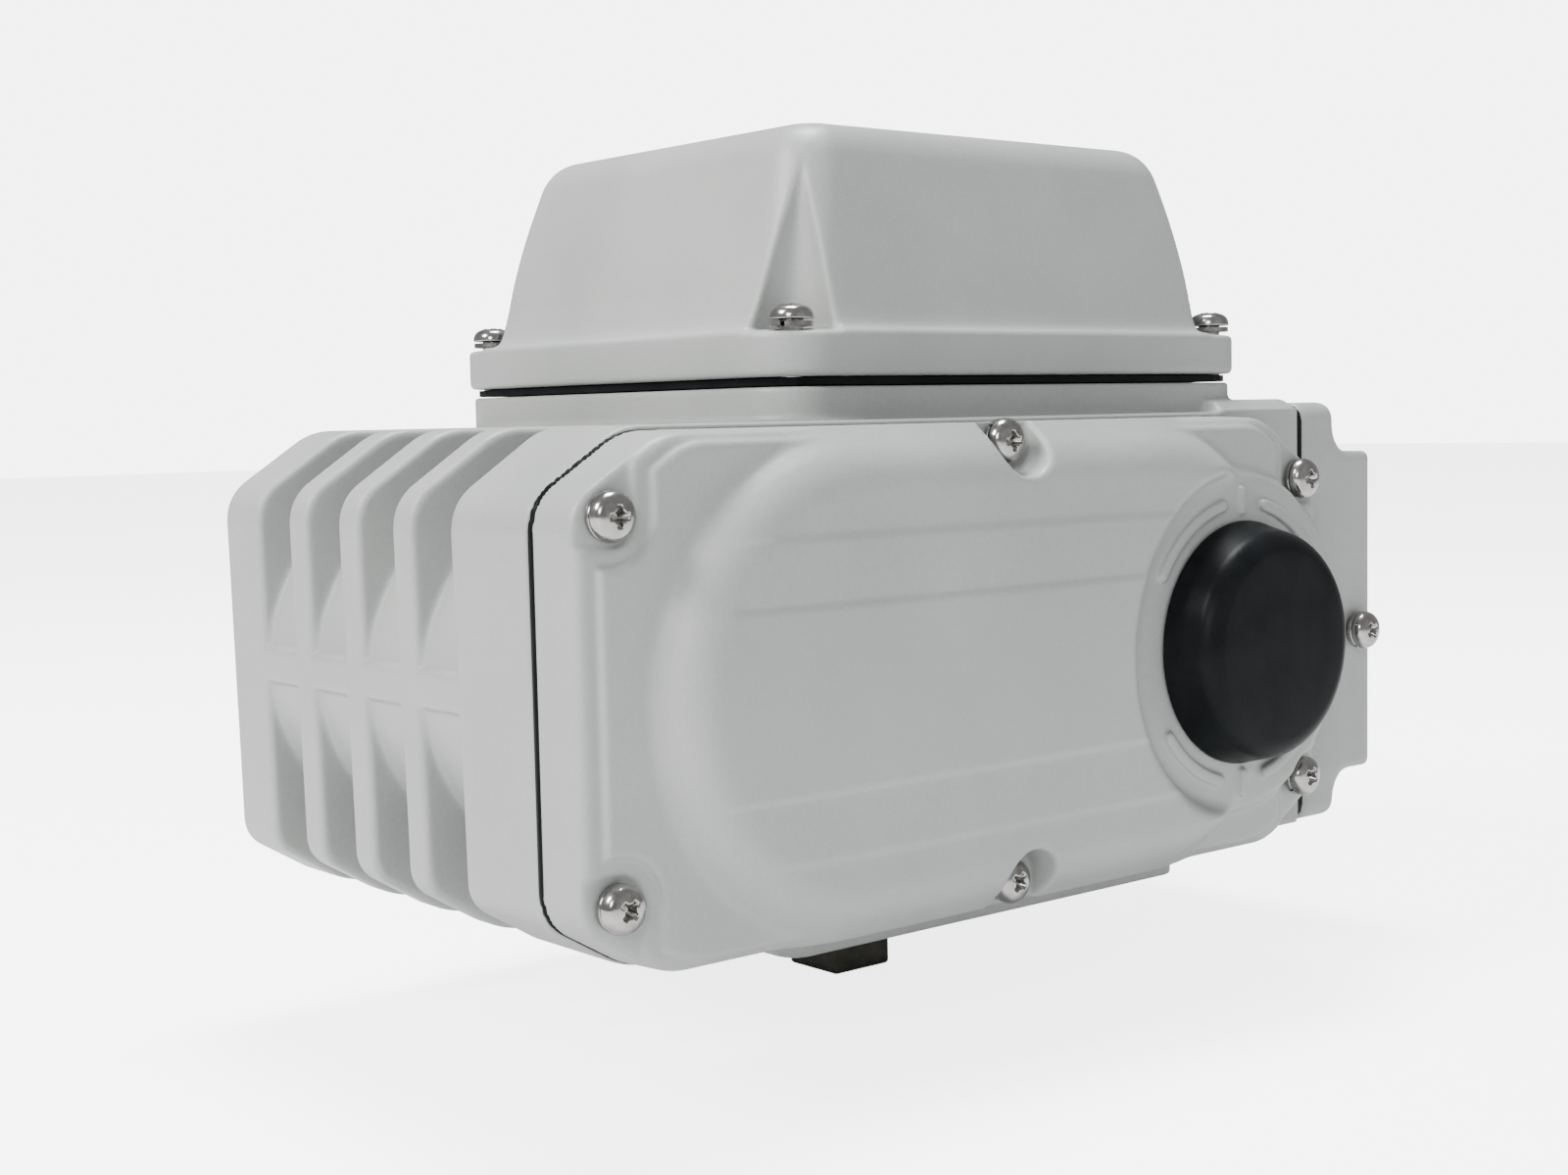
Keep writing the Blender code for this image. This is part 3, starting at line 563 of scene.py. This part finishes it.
def paint():
    """Light grey powder coat: faint mottling, fine orange peel, a few dark specks."""
    mat, tree, shader, coord = new_material("powder_coat_grey")
    broad = noise(tree, coord, 28.0, 3.0)
    tone = colour_ramp(tree, broad.outputs["Fac"], ((0.3, PAINT_DARK), (0.7, PAINT_LIGHT)))
    grain = noise(tree, coord, 1500.0, 2.0)
    grain_tone = span(tree, grain.outputs["Fac"], 0.955, 1.03)
    mix = tree.nodes.new("ShaderNodeMix")
    mix.data_type = "RGBA"
    mix.blend_type = "MULTIPLY"
    mix.inputs["Factor"].default_value = 1.0
    tree.links.new(tone.outputs["Color"], mix.inputs["A"])
    tree.links.new(grain_tone.outputs["Result"], mix.inputs["B"])
    cells = tree.nodes.new("ShaderNodeTexVoronoi")
    cells.inputs["Scale"].default_value = 42.0
    tree.links.new(coord.outputs["Object"], cells.inputs["Vector"])
    speck = colour_ramp(tree, cells.outputs["Distance"],
                        ((0.0, (0.25, 0.25, 0.24)), (0.016, (1.0, 1.0, 1.0))))
    marks = tree.nodes.new("ShaderNodeMix")
    marks.data_type = "RGBA"
    marks.blend_type = "MULTIPLY"
    marks.inputs["Factor"].default_value = 0.7
    tree.links.new(mix.outputs["Result"], marks.inputs["A"])
    tree.links.new(speck.outputs["Color"], marks.inputs["B"])
    tree.links.new(marks.outputs["Result"], shader.inputs["Base Color"])
    rough = span(tree, broad.outputs["Fac"], 0.40, 0.50)
    tree.links.new(rough.outputs["Result"], shader.inputs["Roughness"])
    peel = noise(tree, coord, 650.0, 3.0, 0.55)
    first = bump(tree, shader, peel.outputs["Fac"], 0.25, 0.0003)
    wave = noise(tree, coord, 60.0, 2.0)
    bump(tree, shader, wave.outputs["Fac"], 0.10, 0.0012, first)
    shader.inputs["Specular IOR Level"].default_value = 0.45
    return mat


def rubber():
    mat, tree, shader, coord = new_material("black_rubber")
    cloud = noise(tree, coord, 90.0, 4.0)
    tone = colour_ramp(tree, cloud.outputs["Fac"],
                       ((0.3, (0.004, 0.0045, 0.005)), (0.7, (0.008, 0.009, 0.010))))
    tree.links.new(tone.outputs["Color"], shader.inputs["Base Color"])
    rough = span(tree, cloud.outputs["Fac"], 0.30, 0.40)
    tree.links.new(rough.outputs["Result"], shader.inputs["Roughness"])
    fine = noise(tree, coord, 1200.0, 2.0)
    bump(tree, shader, fine.outputs["Fac"], 0.12, 0.0002)
    shader.inputs["Specular IOR Level"].default_value = 0.05
    return mat


def metal(name, dark, light, rough_low, rough_high, scale=400.0, strength=0.06, metallic=1.0):
    mat, tree, shader, coord = new_material(name)
    cloud = noise(tree, coord, scale, 4.0)
    tone = colour_ramp(tree, cloud.outputs["Fac"], ((0.3, dark), (0.7, light)))
    tree.links.new(tone.outputs["Color"], shader.inputs["Base Color"])
    rough = span(tree, cloud.outputs["Fac"], rough_low, rough_high)
    tree.links.new(rough.outputs["Result"], shader.inputs["Roughness"])
    bump(tree, shader, cloud.outputs["Fac"], strength, 0.0002)
    shader.inputs["Metallic"].default_value = metallic
    return mat


def plastic(name, dark, light, rough=0.45):
    mat, tree, shader, coord = new_material(name)
    cloud = noise(tree, coord, 200.0, 3.0)
    tone = colour_ramp(tree, cloud.outputs["Fac"], ((0.3, dark), (0.7, light)))
    tree.links.new(tone.outputs["Color"], shader.inputs["Base Color"])
    level = span(tree, cloud.outputs["Fac"], rough - 0.05, rough + 0.08)
    tree.links.new(level.outputs["Result"], shader.inputs["Roughness"])
    fine = noise(tree, coord, 1500.0, 2.0)
    bump(tree, shader, fine.outputs["Fac"], 0.1, 0.0002)
    return mat


PAINT = paint()
RUBBER = rubber()
STAINLESS = metal("stainless_steel", (0.28, 0.27, 0.26), (0.40, 0.39, 0.375), 0.12, 0.22)
DARK_STEEL = metal("dark_steel", (0.060, 0.060, 0.050), (0.100, 0.098, 0.085), 0.42, 0.60,
                   scale=300.0, strength=0.15, metallic=0.6)
GEAR_STEEL = metal("machined_steel", (0.36, 0.36, 0.37), (0.48, 0.48, 0.49), 0.28, 0.42)
BRONZE = metal("bronze", (0.50, 0.33, 0.14), (0.66, 0.45, 0.22), 0.30, 0.45)
CAN = metal("zinc_can", (0.48, 0.49, 0.51), (0.60, 0.61, 0.63), 0.30, 0.45, 120.0)
PLASTIC = plastic("black_plastic", (0.018, 0.018, 0.020), (0.035, 0.035, 0.038))
BOARD = plastic("circuit_board", (0.012, 0.10, 0.035), (0.025, 0.19, 0.07), 0.35)


def finish_piece(obj, mat, slot_name, *nodes, body="housing"):
    obj.data.materials.clear()
    obj.data.materials.append(mat)
    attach(obj, body)
    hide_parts(*nodes)
    return obj


def build_castings():
    step = 0.65
    housing = skin("housing_casting", housing_field, (-125.98, -63.0, 0.0), (94.5, 67.5, 115.95), step)
    finish_piece(housing, PAINT, "housing_paint", "main_housing")
    seal = skin("gear_cover_seal", gasket_field, (-125.6, -64.5, 9.3), (83.9, -63.0, 108.2), 0.75)
    finish_piece(seal, RUBBER, "black_rubber", "gear_cover_gasket")
    gear = skin("gear_cover_casting", gear_cover_field, (-125.5, -86.0, 9.4), (88.75, -64.5, 108.1), 0.6)
    finish_piece(gear, PAINT, "housing_paint", "gear_cover")
    top = skin("top_cover_casting", top_cover_field, (-61.5, -58.0, 118.0), (84.75, 68.5, 171.3), 0.7)
    finish_piece(top, PAINT, "housing_paint", "top_cover")
    end = skin("end_cover_casting", end_cover_field, (97.0, -62.7, 8.0), (125.5, 59.0, 110.8), 0.7)
    finish_piece(end, PAINT, "housing_paint", "end_cover")


TURNS = {"Z": Matrix.Identity(4), "-Y": Matrix.Rotation(math.pi / 2, 4, "X"),
         "X": Matrix.Rotation(math.pi / 2, 4, "Y")}


def seat_piece(name, mesh, seat, axis, lift, spin):
    obj = bpy.data.objects.new(name, mesh)
    bpy.context.scene.collection.objects.link(obj)
    place = Matrix.Translation(Vector(seat) * MM) @ TURNS[axis]
    obj.matrix_world = place @ Matrix.Translation((0, 0, lift * MM)) @ Matrix.Rotation(spin, 4, "Z")
    return obj


def build_fasteners():
    screw = make_screw_mesh()
    washer = spring_washer_mesh()
    screw.materials.append(STAINLESS)
    washer.materials.append(STAINLESS)
    seats = []
    for i, (x, z) in enumerate(SCREWS_FRONT, 1):
        seats.append((f"gear_cover_screw_{i}", f"gear_cover_washer_{i}", (x, -76.0, z), "-Y"))
    for i, (x, y) in enumerate(SCREWS_TOP, 1):
        seats.append((f"top_cover_screw_{i}", f"top_cover_washer_{i}", (x, y, 127.6), "Z"))
    for i, (y, z) in enumerate(SCREWS_END, 1):
        seats.append((f"end_cover_screw_{i}", None, (110.9, y, z), "X"))
    seats.append(("earth_screw", "earth_washer", (118.8, -62.7, 54.0), "-Y"))
    for number, (name, ring, seat, axis) in enumerate(seats):
        spin = (number * 2.4) % (2 * math.pi)
        lift = 1.9 if ring else 0.3
        head = seat_piece(f"fine_{name}", screw, seat, axis, lift, spin)
        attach(head, "housing")
        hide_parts(name)
        if ring:
            split = seat_piece(f"fine_{ring}", washer, seat, axis, 0.32, spin * 1.7 + 0.5)
            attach(split, "housing")
            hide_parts(ring)


def build_cap():
    outer = [(0, 12.3), (16.0, 12.25)] + arc(20.2, 7.0, 5.2, 88, 12, 12)
    outer += [(26.9, 1.6)] + arc(26.5, 0.95, 0.65, 10, -80, 4)
    inner = [(21.0, 0.3), (21.0, 8.3), (0, 8.3)]
    cap = lathe("shaft_cap", outer + inner, 120)
    cap.matrix_world = Matrix.Translation((WORM_X * MM, -81.0 * MM, GEAR_Z * MM)) @ TURNS["-Y"]
    finish_piece(cap, RUBBER, "black_rubber", "manual_shaft_cap", body="cap")


def square_drive_field(x, y, z):
    r = np.hypot(x, y)
    d = smax(r - 16.0, slab(z, 0.8, 37.6), 0.8)
    d = np.minimum(d, smax(r - 22.0, slab(z, 37.6, 47.4), 0.8))
    d = np.minimum(d, smax(r - 15.0, slab(z, 47.0, 68.0), 0.6))
    d = np.minimum(d, smax(r - 12.0, slab(z, 67.0, 106.0), 0.6))
    d = np.minimum(d, smax(r - 9.0, slab(z, 105.0, 132.0), 0.8))
    square = smax(rect(x, y, -8.5, 8.5, -8.5, 8.5, 0.8), slab(z, -21.0, 5.0), 1.0)
    return smin(d, square, 0.8)


def build_drive():
    drive = skin("output_drive", square_drive_field, (-22.2, -22.2, -21.1), (22.2, 22.2, 132.1), 0.55)
    finish_piece(drive, DARK_STEEL, "dark_steel", "output_shaft", body="output")


def build_plugs():
    for name, (y, z) in zip(("front", "back"), PLUGS):
        def plug_field(u, v, w):
            r = np.hypot(u, v)
            head = smax(r - 13.0, slab(w, 0.3, 3.8), 1.6)
            stem = smax(r - 9.6, slab(w, -7.0, 1.0), 0.8)
            slot_gap = np.maximum(np.maximum(np.abs(v) - 1.1, np.abs(u) - 9.0), 2.4 - w)
            return smax(np.minimum(head, stem), -slot_gap, 0.3)
        plug = skin(f"blanking_plug_{name}", plug_field, (-13.1, -13.1, -7.1), (13.1, 13.1, 3.9), 0.45)
        plug.matrix_world = Matrix.Translation((125.5 * MM, y * MM, z * MM)) @ TURNS["X"]
        finish_piece(plug, PLASTIC, "black_plastic", f"cable_entry_plug_{name}")


def dress_inner_nodes():
    looks = {"top_cover_gasket": RUBBER, "end_cover_gasket": RUBBER,
             "compound_pin": GEAR_STEEL, "idler_pin": GEAR_STEEL, "worm_bearing_front": GEAR_STEEL,
             "worm_bearing_rear": GEAR_STEEL, "bearing_plate": GEAR_STEEL, "motor_body": CAN,
             "motor_capacitor": CAN, "lower_bush": BRONZE, "upper_bush": BRONZE, "control_board": BOARD,
             "terminal_block": PLASTIC, "limit_switch_lower": PLASTIC, "limit_switch_upper": PLASTIC,
             "worm_wheel": BRONZE, "limit_cam_lower": PLASTIC, "limit_cam_upper": PLASTIC,
             "worm_shaft": GEAR_STEEL, "final_gear": GEAR_STEEL, "idler_gear": GEAR_STEEL,
             "compound_gear": GEAR_STEEL, "motor_pinion": GEAR_STEEL}
    for name, mat in looks.items():
        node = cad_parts[name]
        for slot in node.material_slots:
            slot.link = "OBJECT"
            slot.material = mat


# Floor, light and camera --------------------------------------------------

def flat_material(name, colour, rough):
    mat, tree, shader, coord = new_material(name)
    cloud = noise(tree, coord, 3.0, 2.0)
    light = tuple(min(1.0, c * 1.01) for c in colour)
    tone = colour_ramp(tree, cloud.outputs["Fac"], ((0.3, colour), (0.7, light)))
    tree.links.new(tone.outputs["Color"], shader.inputs["Base Color"])
    shader.inputs["Roughness"].default_value = rough
    return mat


def area(name, place, target, size, power, colour=(1.0, 1.0, 1.0)):
    data = bpy.data.lights.new(name, "AREA")
    data.shape = "RECTANGLE"
    data.size, data.size_y = size
    data.energy = power
    data.color = colour
    lamp = bpy.data.objects.new(name, data)
    lamp.location = place
    lamp.rotation_euler = (Vector(target) - Vector(place)).to_track_quat("-Z", "Y").to_euler()
    bpy.context.scene.collection.objects.link(lamp)


def studio():
    floor_z = cad_box[0][2] - 0.0005
    mesh = bpy.data.meshes.new("floor")
    corners = [(-6, -6, floor_z), (6, -6, floor_z), (6, 6, floor_z), (-6, 6, floor_z)]
    mesh.from_pydata(corners, [], [(0, 1, 2, 3)])
    floor = bpy.data.objects.new("floor", mesh)
    mesh.materials.append(flat_material("floor_pale", (0.93, 0.93, 0.93), 0.8))
    tree = mesh.materials[0].node_tree
    path = tree.nodes.new("ShaderNodeLightPath")
    glow = tree.nodes.new("ShaderNodeMapRange")
    glow.inputs["To Max"].default_value = 4.0
    tree.links.new(path.outputs["Is Camera Ray"], glow.inputs["Value"])
    shader = tree.nodes["Principled BSDF"]
    shader.inputs["Emission Color"].default_value = (1.0, 1.0, 1.0, 1.0)
    tree.links.new(glow.outputs["Result"], shader.inputs["Emission Strength"])
    bpy.context.scene.collection.objects.link(floor)
    world = bpy.data.worlds.new("studio")
    world.use_nodes = True
    tree = world.node_tree
    shade = tree.nodes["Background"]
    shade.inputs["Color"].default_value = (1.0, 1.0, 1.0, 1.0)
    path = tree.nodes.new("ShaderNodeLightPath")
    level = tree.nodes.new("ShaderNodeMapRange")
    level.inputs["To Min"].default_value = 0.44
    level.inputs["To Max"].default_value = 6.0
    tree.links.new(path.outputs["Is Camera Ray"], level.inputs["Value"])
    tree.links.new(level.outputs["Result"], shade.inputs["Strength"])
    bpy.context.scene.world = world
    area("key", (-1.45, 0.1, 1.25), (0, 0, 0.07), (0.5, 0.5), 42.0, (1.0, 0.99, 0.97))
    area("top", (0.2, 0.2, 1.7), (0, 0, 0.1), (0.6, 0.6), 52.0, (0.95, 0.975, 1.0))
    area("side", (-1.35, -1.05, 0.75), (0, 0, 0.07), (0.5, 0.5), 13.0, (0.94, 0.97, 1.0))
    area("front", (0.3, -1.7, 0.5), (0, 0, 0.07), (1.4, 1.0), 0.6, (0.96, 0.98, 1.0))


def camera():
    data = bpy.data.cameras.new("camera")
    data.sensor_width = 36.0
    data.lens = 49.496
    data.clip_start = 0.01
    right = Vector((0.76985, -0.63788, -0.02115))
    down = Vector((-0.06633, -0.04701, -0.99669))
    ahead = Vector((0.63477, 0.7687, -0.0785))
    turn = Matrix((right, -down, -ahead)).transposed().to_4x4()
    cam = bpy.data.objects.new("camera", data)
    cam.matrix_world = Matrix.Translation(Vector((-333.155, -385.460, 109.783)) * MM) @ turn
    bpy.context.scene.collection.objects.link(cam)
    bpy.context.scene.camera = cam


camera()
build_castings()
build_fasteners()
build_cap()
build_drive()
build_plugs()
dress_inner_nodes()
studio()
